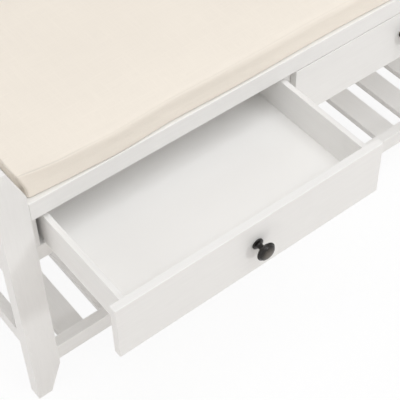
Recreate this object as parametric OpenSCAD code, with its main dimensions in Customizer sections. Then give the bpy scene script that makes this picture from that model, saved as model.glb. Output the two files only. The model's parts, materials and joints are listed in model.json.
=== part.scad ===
// Shoe storage bench: a white wooden frame with a cushion on its seat,
// two drawers under the seat and a slatted shelf near the floor.
// Every piece is drawn from the left front corner of the bench on the floor,
// and the whole bench then moves so that the origin lies under the middle of
// the left front foot. +X runs along the bench, +Y to its back, +Z up.

/* [Bench] */
// Width of the bench over its legs
bench_w = 1016; // [900:1:1200]
// Depth of the bench over its legs
bench_d = 360; // [300:1:450]
// Height of the wooden seat above the floor
seat_h = 428; // [400:1:480]

/* [Legs] */
// Width of a leg, seen from the front
leg_w = 46.5; // [40:0.5:60]
// Thickness of a leg from front to back
leg_t = 24; // [22:1:30]
// Width that is left of a leg at its sole and at the tip of its head
leg_tip_w = 24; // [18:1:34]
// Height of the tapered foot
foot_h = 59; // [40:1:60]
// Height of the straight part of a leg above the seat
leg_lip = 16; // [5:1:30]
// Height of the slanted head of a leg
head_h = 58; // [30:1:80]

/* [Seat] */
// Height of the front and back rails of the seat
seat_rail_h = 33; // [30:1:45]
// Thickness of the front and back rails of the seat
seat_rail_t = 18; // [16:1:22]
// Thickness of the board under the cushion
seat_board_t = 15; // [13:1:18]
// Thickness of the cleats that carry the board
cleat_t = 18; // [16:1:22]

/* [Side panels] */
// Thickness of an upper side panel
side_panel_t = 18; // [12:1:20]
// Distance of a side panel from the outer face of the legs
side_panel_inset = 2; // [1:0.5:4]

/* [Drawer case] */
// Height of the rails under the drawers
case_rail_h = 29; // [20:1:35]
// Thickness of the rails under the drawers
case_rail_t = 18; // [16:1:24]
// Gap between the back of a closed front and the case
closed_gap = 0.3; // [0.2:0.1:1]
// Thickness of the guide panels beside the legs
guide_t = 12; // [10:1:15]
// Thickness of the divider between the drawers
divider_t = 24; // [18:1:28]
// Thickness of the runner boards
runner_t = 12; // [10:1:18]
// Reach of a runner or kicker board past the panel that it carries
runner_reach = 20; // [18:1:30]
// Thickness of the back panel
back_panel_t = 6; // [4:1:8]

/* [Drawer fronts] */
// Height of a drawer front
front_h = 100; // [90:1:120]
// Thickness of a drawer front
front_t = 12.7; // [12:0.1:16]
// Gap beside and between the fronts
front_gap = 1.5; // [1:0.5:4]
// Gap between a front and the seat rail above it
front_top_gap = 1.5; // [1:0.5:4]
// Length of a front below the underside of the case
front_drop = 1.5; // [0:0.5:4]
// Reach of a front past the side of its box
front_side_lap = 17.25; // [16:0.25:19]

/* [Drawer boxes] */
// Thickness of the sides and the back of a box
box_t = 9; // [9:0.5:12]
// Thickness of the bottom of a box
box_bottom_t = 3; // [3:0.5:6]
// Gap between the top of a box and the seat rail
box_top_gap = 7; // [5:0.5:15]
// Gap behind a closed box
box_back_gap = 24; // [5:1:30]
// Running gap between a box and its runners
run_gap = 0.3; // [0.2:0.1:1]
// Gap between a box and the kicker above it
kicker_gap = 1; // [0.5:0.5:3]
// Share of its travel that the left drawer stands open
left_open_share = 0.7775; // [0:0.0025:1]
// Share of its travel that the right drawer stands open
right_open_share = 0; // [0:0.0025:1]
// Distance of a stop block's back from the front of the case
stop_setback = 61; // [50:1:90]
// Thickness of a stop block
stop_t = 12; // [10:1:14]
// Width of a stop block
stop_w = 60; // [40:1:120]
// Reach of a stop block below the top of the box
stop_hang = 8; // [5:0.5:20]

/* [Shelf] */
// Height of the shelf's underside above the floor
shelf_h = 60; // [60:1:110]
// Height of a shelf rail
shelf_rail_h = 32; // [28:1:45]
// Thickness of a shelf rail
shelf_rail_t = 18; // [17:1:22]
// Distance of a side rail of the shelf from the outer face of the legs
shelf_side_inset = 18; // [5:0.5:25]
// Number of slats
slat_count = 12; // [8:1:12]
// Width of a slat
slat_w = 45.5; // [35:0.5:50]
// Thickness of a slat
slat_t = 12; // [10:1:15]
// Gap between a side rail and the slat beside it
slat_end_gap = 33; // [20:1:60]
// Depth of the rebate in which the slats end
rebate_d = 10; // [8:1:12]
// Gap at each end of a slat
slat_play = 0.2; // [0.1:0.1:1]

/* [Cushion] */
// Gap between the cushion and the legs beside it
cushion_side_gap = 4; // [3:0.5:15]
// Distance of the cushion from the front and the back of the bench
cushion_setback = 4; // [2:1:20]
// Thickness of the cushion at its edges
cushion_t = 45; // [32:1:60]
// Rise of the crown above the edges
cushion_crown = 8; // [0:1:20]
// Depth to which the sides are drawn in at their middle
cushion_draw = 2; // [0:0.5:8]
// Radius of the rounded top edge
cushion_top_r = 12; // [8:1:20]
// Radius of the rounded bottom edge
cushion_bottom_r = 4; // [3:0.5:10]
// Radius of the upright corners
cushion_corner_r = 10; // [8:1:30]
// Gap between the cushion and the seat
cushion_gap = 0.3; // [0.2:0.1:1]

/* [Knobs] */
// Height of a knob above the middle of its front
knob_rise = 5; // [-10:0.5:15]
// Length of a knob from the front to its top
knob_l = 25; // [20:0.5:32]
// Diameter of the head
knob_head_d = 30; // [24:0.5:36]
// Diameter of the base flange
knob_flange_d = 18; // [14:0.5:22]
// Diameter of the neck
knob_neck_d = 8.5; // [7:0.5:12]
// Thickness of the base flange
knob_flange_t = 2.4; // [1.5:0.1:3]
// Height of the sweep from the flange to the neck
knob_sweep_h = 4; // [2:0.5:5]
// Distance of the head's back from the front
knob_head_z = 14.5; // [13:0.5:16]
// Height of the sweep from the neck to the head
knob_flare_h = 4; // [2:0.5:6]
// Width and height of each ring on the back of the head
knob_ring = 0.9; // [0.5:0.1:1]
// Thickness of the rounded rim
knob_rim_t = 3.2; // [2:0.1:4]

/* [Fasteners] */
// Diameter of a dowel
dowel_d = 6; // [5:0.5:7]
// Length of a dowel in the frame
dowel_l = 30; // [24:1:34]
// Length of a dowel in a drawer
drawer_dowel_l = 14; // [10:1:16]
// Depth of a drawer dowel in the piece whose face it enters
drawer_dowel_bite = 6; // [4:0.5:7]
// Distance between two dowels in one joint
dowel_pitch = 16; // [12:0.5:18]
// Diameter of a screw's shank
screw_d = 4; // [3:0.5:5]
// Length of a screw
screw_l = 28; // [24:1:29]
// Diameter of a screw's head
screw_head_d = 7.6; // [6:0.1:8]
// Height of a screw's head
screw_head_h = 2.2; // [1.5:0.1:3]
// Depth at which the kicker screws are sunk
kicker_screw_sink = 5; // [2:0.5:8]
// Depth at which the stop block screws are sunk
stop_screw_sink = 13; // [10:0.5:15]
// Diameter of a knob bolt
bolt_d = 4; // [3:0.5:5]
// Diameter of a knob bolt's head
bolt_head_d = 9; // [8:0.5:12]
// Height of a knob bolt's head
bolt_head_h = 2.6; // [2:0.2:4]
// Depth of a knob bolt in the knob
bolt_reach = 10; // [6:0.5:12]
// Play round every dowel, screw and bolt
hole_play = 0.1; // [0.05:0.01:0.2]

/* [Hidden] */
// Length by which a cutting shape passes the face that it opens
overrun = 1;

// Heights
head_z = seat_h + leg_lip;
bench_h = head_z + head_h;
seat_rail_z = seat_h - seat_rail_h;
seat_board_z = seat_h - seat_board_t;
front_z = seat_rail_z - front_top_gap - front_h;
case_z = front_z + front_drop;
case_floor_z = case_z + case_rail_h;
box_z = case_floor_z + run_gap;
box_inner_z = box_z + box_bottom_t;
box_top_z = seat_rail_z - box_top_gap;
kicker_z = box_top_z + kicker_gap;
stop_z = box_top_z - stop_hang;
slat_z = shelf_h + slat_t;
cushion_z = seat_h + cushion_gap;

// Depths
case_y = front_t + closed_gap;
case_back_y = bench_d - case_y;
runner_y = case_y + case_rail_t;
cleat_y = seat_rail_t + cleat_t;
box_back_y = case_back_y - box_back_gap;
stop_back_y = case_y + stop_setback;
drawer_travel = box_back_y - box_t - stop_back_y;
shelf_rail_y = leg_t - shelf_rail_t;

// Widths
inner_w = bench_w - 2 * leg_w;
front_w = (inner_w - 3 * front_gap) / 2;
side_panel_x = side_panel_inset + side_panel_t;
shelf_side_x = shelf_side_inset + shelf_rail_t;
slat_first_x = shelf_side_x + slat_end_gap;
slat_pitch = (bench_w - 2 * slat_first_x - slat_w) / (slat_count - 1);

// Left and right faces of the guide panels and the divider
panel_spans = [
    [leg_w, leg_w + guide_t],
    [(bench_w - divider_t) / 2, (bench_w + divider_t) / 2],
    [bench_w - leg_w - guide_t, bench_w - leg_w]
];
// Left and right edges of the runner and kicker boards
board_spans = [
    [leg_w, leg_w + guide_t + runner_reach],
    [(bench_w - divider_t) / 2 - runner_reach, (bench_w + divider_t) / 2 + runner_reach],
    [bench_w - leg_w - guide_t - runner_reach, bench_w - leg_w]
];

// Places of fasteners, as shares of the length along which they stand
panel_screw_shares = [0.15, 0.5, 0.85];
back_screw_shares = [0.3, 0.8];
kicker_screw_shares = [0.2, 0.8];
cleat_screw_shares = [0.125, 0.375, 0.625, 0.875];
seat_screw_shares = [0.2, 0.4, 0.6, 0.8];
side_dowel_shares = [0.17, 0.5, 0.83];
drawer_dowel_shares = [0.3, 0.7];
stop_screw_shares = [0.25, 0.75];

// Facets of a full circle
$fn = 48;
// Steps in each arc of the knob's outline
knob_steps = 6;
// Angle up to which the round of the rim goes before the dome begins
knob_rim_angle = 60;
// Steps in each rounded edge of the cushion
cushion_edge_steps = 5;
// Points on each upright corner of the cushion
cushion_corner_steps = 4;
// Points along the long and the short sides of the cushion
cushion_long_steps = 14;
cushion_short_steps = 6;
// Rings between the cushion's edge and its middle
cushion_top_rings = 6;

// Pieces of one drawer
DRAWER_PIECES = ["front", "side_left", "side_right", "back", "bottom", "dowels", "knob", "knob_bolt"];

// Moves a piece from the corner of the bench to the bench's own frame
module in_bench_frame() {
    translate([-leg_tip_w / 2, -leg_t / 2, 0]) children();
}

// Paint of the frame
module painted() {
    color([0.93, 0.93, 0.92]) children();
}

// A box between its low corner and its high corner
module block(low, high) {
    translate(low) cube(high - low);
}

// Turns a piece of the left front corner over to another corner
module at_corner(right, back) {
    translate([right * bench_w, back * bench_d, 0])
        mirror([right, 0, 0])
            mirror([0, back, 0])
                children();
}

// A dowel along X, grown on every side for its hole
module dowel_x(middle, play, length = dowel_l) {
    translate(middle - [length / 2 + play, 0, 0])
        rotate([0, 90, 0])
            cylinder(h = length + 2 * play, d = dowel_d + 2 * play);
}

// A dowel along Y, grown on every side for its hole
module dowel_y(middle, play, length = dowel_l) {
    translate(middle - [0, length / 2 + play, 0])
        rotate([-90, 0, 0])
            cylinder(h = length + 2 * play, d = dowel_d + 2 * play);
}

// A countersunk screw that points up from its head, or its hole with the play round it
module screw(play) {
    head_r = screw_head_d / 2 + play;
    shank_r = screw_d / 2 + play;
    opening = play > 0 ? [[0, -overrun], [head_r, -overrun]] : [[0, 0]];
    rotate_extrude()
        polygon(concat(
            opening,
            [[head_r, 0], [shank_r, screw_head_h], [shank_r, screw_l + play], [0, screw_l + play]]
        ));
}

// A sunk screw, or its hole, which is open down to the face that it was sunk from
module sunk_screw(sink, play) {
    translate([0, 0, sink]) screw(play);
    if (play > 0)
        translate([0, 0, -overrun])
            cylinder(h = sink + overrun, d = screw_head_d + 2 * play);
}

// Dowels of one corner of the frame
module corner_dowels(play) {
    for (side = [-1, 1]) {
        dowel_x([leg_w, seat_rail_t / 2, seat_h - seat_rail_h / 2 + side * dowel_pitch / 2], play);
        dowel_y([
            shelf_side_inset + shelf_rail_t / 2,
            leg_t,
            shelf_h + shelf_rail_h / 2 + side * dowel_pitch / 2
        ], play);
    }
    dowel_x([leg_w, leg_t - shelf_rail_t / 2, shelf_h + (slat_t + shelf_rail_h) / 2], play);
    dowel_x([leg_w, (case_y + leg_t) / 2, case_z + case_rail_h / 2], play);
    for (share = side_dowel_shares)
        dowel_y([
            side_panel_inset + side_panel_t / 2,
            leg_t,
            case_z + share * (head_z - case_z)
        ], play);
}

// Dowels between the case rails and the runner boards
module runner_dowels(play) {
    for (span = board_spans, y = [runner_y, bench_d - runner_y])
        dowel_y([(span[0] + span[1]) / 2, y, case_floor_z - runner_t / 2], play);
}

// Screws that hold the slats to the shelf rails
module slat_screws(play) {
    for (index = [1:slat_count], back = [0, 1])
        at_corner(0, back)
            translate([slat_x(index) + slat_w / 2, leg_t - rebate_d / 2, shelf_h])
                screw(play);
}

// Screws that hold the guide panels and the divider to the runner boards
module panel_screws(play) {
    for (span = panel_spans, share = panel_screw_shares)
        translate([
            (span[0] + span[1]) / 2,
            runner_y + share * (bench_d - 2 * runner_y),
            case_floor_z - runner_t
        ]) screw(play);
}

// Screws that hold the back panel to the guide panels and the divider
module back_screws(play) {
    for (span = panel_spans, share = back_screw_shares)
        translate([
            (span[0] + span[1]) / 2,
            case_back_y + back_panel_t,
            case_floor_z + share * (seat_rail_z - case_floor_z)
        ]) rotate([90, 0, 0]) screw(play);
}

// Screws that hold the kicker boards to the seat board
module kicker_screws(play) {
    kicker_xs = [
        leg_w + guide_t + runner_reach / 2,
        (bench_w - divider_t - runner_reach) / 2,
        (bench_w + divider_t + runner_reach) / 2,
        bench_w - leg_w - guide_t - runner_reach / 2
    ];
    for (x = kicker_xs, share = kicker_screw_shares)
        translate([x, cleat_y + share * (bench_d - 2 * cleat_y), kicker_z])
            sunk_screw(kicker_screw_sink, play);
}

// Screws that hold the cleats to the rails of the seat
module cleat_screws(play) {
    for (share = cleat_screw_shares, back = [0, 1])
        at_corner(0, back)
            translate([leg_w + share * inner_w, cleat_y, (seat_rail_z + seat_board_z) / 2])
                rotate([90, 0, 0])
                    screw(play);
}

// Screws that hold the seat board to the cleats
module seat_screws(play) {
    for (share = seat_screw_shares, back = [0, 1])
        at_corner(0, back)
            translate([leg_w + share * inner_w, seat_rail_t + cleat_t / 2, seat_rail_z])
                screw(play);
}

// Screws that hold a stop block to the seat board
module stop_screws(side, play) {
    for (share = stop_screw_shares)
        translate([
            drawer_mid_x(side) + (share - 1 / 2) * stop_w,
            stop_back_y - stop_t / 2,
            stop_z
        ]) sunk_screw(stop_screw_sink, play);
}

// Left edge of a front, and the middle of a drawer
function front_x(side) = leg_w + front_gap + side * (front_w + front_gap);
function drawer_mid_x(side) = front_x(side) + front_w / 2;
function drawer_open(side) = (side == 0 ? left_open_share : right_open_share) * drawer_travel;
function drawer_node(side, piece) = str(side == 0 ? "left" : "right", "_drawer_", piece);
function slat_x(index) = slat_first_x + (index - 1) * slat_pitch;

// A leg: straight outside, with its inner side tapered at the foot and slanted at the head
module leg(right, back) {
    at_corner(right, back)
        difference() {
            translate([0, leg_t, 0])
                rotate([90, 0, 0])
                    linear_extrude(leg_t)
                        polygon([
                            [0, 0],
                            [leg_tip_w, 0],
                            [leg_w, foot_h],
                            [leg_w, head_z],
                            [leg_tip_w, bench_h],
                            [0, bench_h]
                        ]);
            corner_dowels(hole_play);
        }
}

// A rail of the seat, flush with the outer face of the legs
module seat_rail(back) {
    difference() {
        at_corner(0, back)
            block([leg_w, 0, seat_rail_z], [bench_w - leg_w, seat_rail_t, seat_h]);
        for (right = [0, 1]) at_corner(right, back) corner_dowels(hole_play);
        cleat_screws(hole_play);
    }
}

// The board under the cushion, cut away round the legs
module seat_board() {
    difference() {
        translate([0, 0, seat_board_z])
            linear_extrude(seat_board_t)
                polygon([
                    [leg_w, seat_rail_t],
                    [bench_w - leg_w, seat_rail_t],
                    [bench_w - leg_w, leg_t],
                    [bench_w - side_panel_x, leg_t],
                    [bench_w - side_panel_x, bench_d - leg_t],
                    [bench_w - leg_w, bench_d - leg_t],
                    [bench_w - leg_w, bench_d - seat_rail_t],
                    [leg_w, bench_d - seat_rail_t],
                    [leg_w, bench_d - leg_t],
                    [side_panel_x, bench_d - leg_t],
                    [side_panel_x, leg_t],
                    [leg_w, leg_t]
                ]);
        kicker_screws(hole_play);
        seat_screws(hole_play);
        for (side = [0, 1]) stop_screws(side, hole_play);
    }
}

// A cleat behind a rail of the seat
module seat_cleat(back) {
    difference() {
        at_corner(0, back)
            block([leg_w, seat_rail_t, seat_rail_z], [bench_w - leg_w, cleat_y, seat_board_z]);
        cleat_screws(hole_play);
        seat_screws(hole_play);
    }
}

// An upper side panel between the front leg and the back leg
module side_panel(right) {
    difference() {
        at_corner(right, 0)
            block([side_panel_inset, leg_t, case_z], [side_panel_x, bench_d - leg_t, head_z]);
        for (back = [0, 1]) at_corner(right, back) corner_dowels(hole_play);
    }
}

// A guide panel or the divider, which stands on the case rails and a runner board
module upright_panel(span) {
    difference() {
        block([span[0], case_y, case_floor_z], [span[1], case_back_y, seat_rail_z]);
        block(
            [span[0] - overrun, cleat_y, kicker_z],
            [span[1] + overrun, bench_d - cleat_y, seat_rail_z + overrun]
        );
        panel_screws(hole_play);
        back_screws(hole_play);
    }
}

// A rail under the drawers
module case_rail(back) {
    difference() {
        at_corner(0, back)
            block([leg_w, case_y, case_z], [bench_w - leg_w, runner_y, case_floor_z]);
        for (right = [0, 1]) at_corner(right, back) corner_dowels(hole_play);
        runner_dowels(hole_play);
    }
}

// The thin panel behind the drawers
module case_back_panel() {
    difference() {
        block(
            [leg_w, case_back_y, case_z],
            [bench_w - leg_w, case_back_y + back_panel_t, seat_rail_z]
        );
        back_screws(hole_play);
    }
}

// A board on which the drawers run
module runner(span) {
    difference() {
        block(
            [span[0], runner_y, case_floor_z - runner_t],
            [span[1], bench_d - runner_y, case_floor_z]
        );
        runner_dowels(hole_play);
        panel_screws(hole_play);
    }
}

// A board that keeps the drawers level while they are open
module kicker(span) {
    difference() {
        block([span[0], cleat_y, kicker_z], [span[1], bench_d - cleat_y, seat_board_z]);
        kicker_screws(hole_play);
    }
}

// A block under the seat that stops the back of an open drawer
module stop_block(side) {
    middle = drawer_mid_x(side);
    difference() {
        block(
            [middle - stop_w / 2, stop_back_y - stop_t, stop_z],
            [middle + stop_w / 2, stop_back_y, seat_board_z]
        );
        stop_screws(side, hole_play);
    }
}

// A long rail of the shelf, with a rebate for the ends of the slats
module shelf_long_rail(back) {
    difference() {
        at_corner(0, back)
            difference() {
                block(
                    [leg_w, shelf_rail_y, shelf_h],
                    [bench_w - leg_w, leg_t, shelf_h + shelf_rail_h]
                );
                block(
                    [leg_w - overrun, leg_t - rebate_d, shelf_h - overrun],
                    [bench_w - leg_w + overrun, leg_t + overrun, slat_z]
                );
            }
        for (right = [0, 1]) at_corner(right, back) corner_dowels(hole_play);
        slat_screws(hole_play);
    }
}

// A short rail of the shelf between the front leg and the back leg
module shelf_short_rail(right) {
    difference() {
        at_corner(right, 0)
            block(
                [shelf_side_inset, leg_t, shelf_h],
                [shelf_side_x, bench_d - leg_t, shelf_h + shelf_rail_h]
            );
        for (back = [0, 1]) at_corner(right, back) corner_dowels(hole_play);
    }
}

// A slat of the shelf
module slat(index) {
    end_y = leg_t - rebate_d + slat_play;
    difference() {
        block([slat_x(index), end_y, shelf_h], [slat_x(index) + slat_w, bench_d - end_y, slat_z]);
        slat_screws(hole_play);
    }
}

// Places a drawer's piece, drawn from the lower left corner of its closed front
module in_drawer(side) {
    translate([front_x(side), -drawer_open(side), 0]) children();
}

// Dowels between the front, the sides and the back of a box
module drawer_dowels(play) {
    front_mid_y = front_t - drawer_dowel_bite + drawer_dowel_l / 2;
    back_mid = front_side_lap + box_t - drawer_dowel_bite + drawer_dowel_l / 2;
    for (share = drawer_dowel_shares) {
        z = box_inner_z + share * (box_top_z - box_inner_z);
        for (x = [front_side_lap + box_t / 2, front_w - front_side_lap - box_t / 2])
            dowel_y([x, front_mid_y, z], play, drawer_dowel_l);
        for (x = [back_mid, front_w - back_mid])
            dowel_x([x, box_back_y - box_t / 2, z], play, drawer_dowel_l);
    }
}

// The bolt that holds a knob, or its hole, pointing to the front from the inside
module knob_bolt(play) {
    reach = front_t + bolt_reach;
    translate([front_w / 2, front_t, front_z + front_h / 2 + knob_rise])
        rotate([90, 0, 0]) {
            cylinder(h = reach + play, d = bolt_d + 2 * play);
            if (play == 0)
                mirror([0, 0, 1]) cylinder(h = bolt_head_h, d = bolt_head_d);
            if (play > 0)
                mirror([0, 0, 1]) cylinder(h = overrun, d = bolt_d + 2 * play);
        }
}

// A drawer front
module drawer_front() {
    difference() {
        block([0, 0, front_z], [front_w, front_t, front_z + front_h]);
        drawer_dowels(hole_play);
        knob_bolt(hole_play);
    }
}

// A side of a box: 0 is the left side and 1 is the right side
module drawer_side(right) {
    x = right == 0 ? front_side_lap : front_w - front_side_lap - box_t;
    difference() {
        block([x, front_t, box_inner_z], [x + box_t, box_back_y, box_top_z]);
        drawer_dowels(hole_play);
    }
}

// The back of a box, between its sides
module drawer_back() {
    inner_x = front_side_lap + box_t;
    difference() {
        block(
            [inner_x, box_back_y - box_t, box_inner_z],
            [front_w - inner_x, box_back_y, box_top_z]
        );
        drawer_dowels(hole_play);
    }
}

// The bottom of a box, under its sides
module drawer_bottom() {
    block([front_side_lap, front_t, box_z], [front_w - front_side_lap, box_back_y, box_inner_z]);
}

// Points of an ellipse's arc about a centre, from one angle to another
function arc(centre, radii, from, to, steps) = [
    for (step = [0:steps])
        let (angle = from + (to - from) * step / steps)
            centre + [radii[0] * cos(angle), radii[1] * sin(angle)]
];

// Half of a knob's section, from the middle of its base to the middle of its top
function knob_outline() =
    let (
        flange_r = knob_flange_d / 2,
        neck_r = knob_neck_d / 2,
        rim_r = knob_rim_t / 2,
        rim_middle_r = knob_head_d / 2 - rim_r,
        ring_r = rim_middle_r - 2 * knob_ring,
        sweep_r = flange_r - knob_ring,
        rim_z = knob_head_z + 2 * knob_ring
    )
    concat(
        [[0, 0], [flange_r, 0], [flange_r, knob_flange_t - knob_ring]],
        arc(
            [sweep_r, knob_flange_t + knob_sweep_h],
            [sweep_r - neck_r, knob_sweep_h], 270, 180, knob_steps
        ),
        arc(
            [ring_r, knob_head_z - knob_flare_h],
            [ring_r - neck_r, knob_flare_h], 180, 90, knob_steps
        ),
        [
            [ring_r, knob_head_z + knob_ring],
            [ring_r + knob_ring, knob_head_z + knob_ring],
            [ring_r + knob_ring, rim_z]
        ],
        arc([rim_middle_r, rim_z + rim_r], [rim_r, rim_r], -90, knob_rim_angle, knob_steps),
        arc([0, rim_z + knob_rim_t], [rim_middle_r, knob_l - rim_z - knob_rim_t], 0, 90, knob_steps)
    );

// A turned knob on the middle of its front
module knob() {
    difference() {
        translate([front_w / 2, 0, front_z + front_h / 2 + knob_rise])
            rotate([90, 0, 0])
                rotate_extrude()
                    polygon(knob_outline());
        knob_bolt(hole_play);
    }
}

// Points evenly spread from one point towards another, without the last
function spread(from, to, steps) = [for (step = [0:steps - 1]) from + (to - from) * step / steps];

// One ring round the cushion, this far inside its outline, about the cushion's middle
function cushion_ring(half_x, half_y, inset) =
    let (
        corner_r = max(cushion_corner_r - inset, cushion_corner_r / 4),
        x = half_x - inset - corner_r,
        y = half_y - inset - corner_r,
        radii = [corner_r, corner_r]
    )
    [
        for (point = concat(
            arc([x, y], radii, 0, 90, cushion_corner_steps),
            [for (p = spread([x, y + corner_r], [-x, y + corner_r], cushion_long_steps)) if (p[0] < x) p],
            arc([-x, y], radii, 90, 180, cushion_corner_steps),
            [for (p = spread([-x - corner_r, y], [-x - corner_r, -y], cushion_short_steps)) if (p[1] < y) p],
            arc([-x, -y], radii, 180, 270, cushion_corner_steps),
            [for (p = spread([-x, -y - corner_r], [x, -y - corner_r], cushion_long_steps)) if (p[0] > -x) p],
            arc([x, -y], radii, 270, 360, cushion_corner_steps),
            [for (p = spread([x + corner_r, -y], [x + corner_r, y], cushion_short_steps)) if (p[1] > -y) p]
        )) drawn_in(point, half_x, half_y)
    ];

// A point moved in by the draw of the sides, which is full at the middle of each side
function drawn_in(point, half_x, half_y) =
    let (x_share = point[0] / half_x, y_share = point[1] / half_y)
    [
        point[0] - cushion_draw * x_share * (1 - y_share * y_share),
        point[1] - cushion_draw * y_share * (1 - x_share * x_share)
    ];

// The cushion: flat below, with rounded edges, drawn-in sides and a crowned top
module cushion_body() {
    half_x = inner_w / 2 - cushion_side_gap;
    half_y = bench_d / 2 - cushion_setback;
    top_z = cushion_z + cushion_t;
    low_edge = arc([cushion_bottom_r, cushion_bottom_r], [cushion_bottom_r, cushion_bottom_r],
        270, 180, cushion_edge_steps - 2);
    high_edge = arc([cushion_top_r, cushion_t - cushion_top_r], [cushion_top_r, cushion_top_r],
        180, 90, cushion_edge_steps);
    edge_rings = [
        for (step = concat(low_edge, high_edge))
            [for (p = cushion_ring(half_x, half_y, step[0])) [p[0], p[1], cushion_z + step[1]]]
    ];
    last_ring = edge_rings[len(edge_rings) - 1];
    crown_rings = [
        for (step = [1:cushion_top_rings - 1])
            let (
                share = 1 - step / cushion_top_rings,
                z = top_z + cushion_crown * (1 - share * share)
            )
            [for (p = last_ring) [p[0] * share, p[1] * share, z]]
    ];
    rings = concat(edge_rings, crown_rings);
    count = len(last_ring);
    points = concat(
        [for (ring = rings, p = ring) p],
        [[0, 0, cushion_z], [0, 0, top_z + cushion_crown]]
    );
    low_middle = len(rings) * count;
    walls = [
        for (row = [0:len(rings) - 2], i = [0:count - 1], half = [0, 1])
            let (
                a = row * count + i,
                b = row * count + (i + 1) % count
            )
            half == 0 ? [a, a + count, b] : [b, a + count, b + count]
    ];
    low_cap = [for (i = [0:count - 1]) [low_middle, i, (i + 1) % count]];
    high_cap = [
        for (i = [0:count - 1])
            let (row = (len(rings) - 1) * count)
                [low_middle + 1, row + (i + 1) % count, row + i]
    ];
    translate([bench_w / 2, bench_d / 2, 0])
        polyhedron(points = points, faces = concat(walls, low_cap, high_cap));
}

// One piece of a drawer by its name
module drawer_piece(side, piece) {
    in_drawer(side) {
        if (piece == "front") painted() drawer_front();
        if (piece == "side_left") painted() drawer_side(0);
        if (piece == "side_right") painted() drawer_side(1);
        if (piece == "back") painted() drawer_back();
        if (piece == "bottom") painted() drawer_bottom();
        if (piece == "dowels") color("burlywood") drawer_dowels(0);
        if (piece == "knob") color([0.16, 0.14, 0.13]) knob();
        if (piece == "knob_bolt") color("silver") knob_bolt(0);
    }
}

// The loose cushion
module cushion() {
    color([0.94, 0.87, 0.76]) cushion_body();
}

// The dowels of the frame
module dowels() {
    color("burlywood") {
        for (right = [0, 1], back = [0, 1]) at_corner(right, back) corner_dowels(0);
        runner_dowels(0);
    }
}

// The screws of the frame
module screws() {
    color("silver") {
        slat_screws(0);
        panel_screws(0);
        back_screws(0);
        kicker_screws(0);
        cleat_screws(0);
        seat_screws(0);
        for (side = [0, 1]) stop_screws(side, 0);
    }
}

in_bench_frame() {
    painted() leg(0, 0);  // leg_front_left
    painted() leg(1, 0);  // leg_front_right
    painted() leg(0, 1);  // leg_back_left
    painted() leg(1, 1);  // leg_back_right
    painted() seat_rail(0);  // seat_rail_front
    painted() seat_rail(1);  // seat_rail_back
    painted() seat_board();
    painted() seat_cleat(0);  // seat_cleat_front
    painted() seat_cleat(1);  // seat_cleat_back
    painted() side_panel(0);  // side_panel_left
    painted() side_panel(1);  // side_panel_right
    painted() upright_panel(panel_spans[0]);  // guide_panel_left
    painted() upright_panel(panel_spans[1]);  // divider
    painted() upright_panel(panel_spans[2]);  // guide_panel_right
    painted() case_rail(0);  // case_rail_front
    painted() case_rail(1);  // case_rail_back
    painted() case_back_panel();
    painted() runner(board_spans[0]);  // runner_left
    painted() runner(board_spans[1]);  // runner_centre
    painted() runner(board_spans[2]);  // runner_right
    painted() kicker(board_spans[0]);  // kicker_left
    painted() kicker(board_spans[1]);  // kicker_centre
    painted() kicker(board_spans[2]);  // kicker_right
    painted() stop_block(0);  // stop_block_left
    painted() stop_block(1);  // stop_block_right
    painted() shelf_long_rail(0);  // shelf_rail_front
    painted() shelf_long_rail(1);  // shelf_rail_back
    painted() shelf_short_rail(0);  // shelf_rail_left
    painted() shelf_short_rail(1);  // shelf_rail_right
    for (index = [1:slat_count])
        painted() slat(index);
    for (side = [0, 1], piece = DRAWER_PIECES)
        drawer_piece(side, piece);
    cushion();
    dowels();
    screws();
}
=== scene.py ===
"""Looks of the shoe storage bench: painted boards, turned knobs, screws and a cushion."""

import json
import math

import bmesh
import bpy
from bpy.props import FloatProperty, FloatVectorProperty, IntProperty, PointerProperty
from mathutils import Matrix, Vector
from mathutils.kdtree import KDTree


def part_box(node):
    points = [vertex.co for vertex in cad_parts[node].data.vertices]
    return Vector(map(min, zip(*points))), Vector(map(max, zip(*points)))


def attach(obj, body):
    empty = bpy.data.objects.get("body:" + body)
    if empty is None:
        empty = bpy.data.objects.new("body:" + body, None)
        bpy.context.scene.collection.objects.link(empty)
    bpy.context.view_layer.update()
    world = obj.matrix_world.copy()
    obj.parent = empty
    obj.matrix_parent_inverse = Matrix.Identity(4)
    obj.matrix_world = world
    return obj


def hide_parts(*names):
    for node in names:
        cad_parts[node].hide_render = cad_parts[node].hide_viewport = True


bl_info = {
    "name": "Shoe Storage Bench",
    "version": (1, 0, 0),
    "blender": (4, 5, 0),
    "location": "View3D > Sidebar > Bench",
    "description": "Finishes the boards, knobs, screws and cushion of a shoe storage bench",
    "category": "Object",
}

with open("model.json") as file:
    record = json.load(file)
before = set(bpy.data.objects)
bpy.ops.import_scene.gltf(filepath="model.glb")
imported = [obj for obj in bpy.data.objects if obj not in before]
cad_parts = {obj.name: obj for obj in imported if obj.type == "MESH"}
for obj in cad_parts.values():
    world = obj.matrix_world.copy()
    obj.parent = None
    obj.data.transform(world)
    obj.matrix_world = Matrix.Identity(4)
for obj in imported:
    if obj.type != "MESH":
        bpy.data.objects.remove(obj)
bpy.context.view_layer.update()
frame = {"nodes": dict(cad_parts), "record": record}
BODIES = frame["record"]["behaviour"]["bodies"]
NODES = frame["nodes"]

# Names of the record's material slots
PAINT_SLOT, CLOTH_SLOT, BRONZE_SLOT = "white_paint", "cushion_cloth", "dark_bronze"
STEEL_SLOT, BEECH_SLOT = "steel", "beech"

MM = 0.001
# Distances under which points of a mesh, of a turned form and of a screw's end count as one
WELD, SPIN_WELD, SAME_END = MM / 1000, MM / 100, MM / 10

SIDES = ("left", "right")
SLATS = sorted((n for n in NODES if n.startswith("slat_")), key=lambda n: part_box(n)[0].x)
SLAT_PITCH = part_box(SLATS[1])[0].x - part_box(SLATS[0])[0].x

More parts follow.
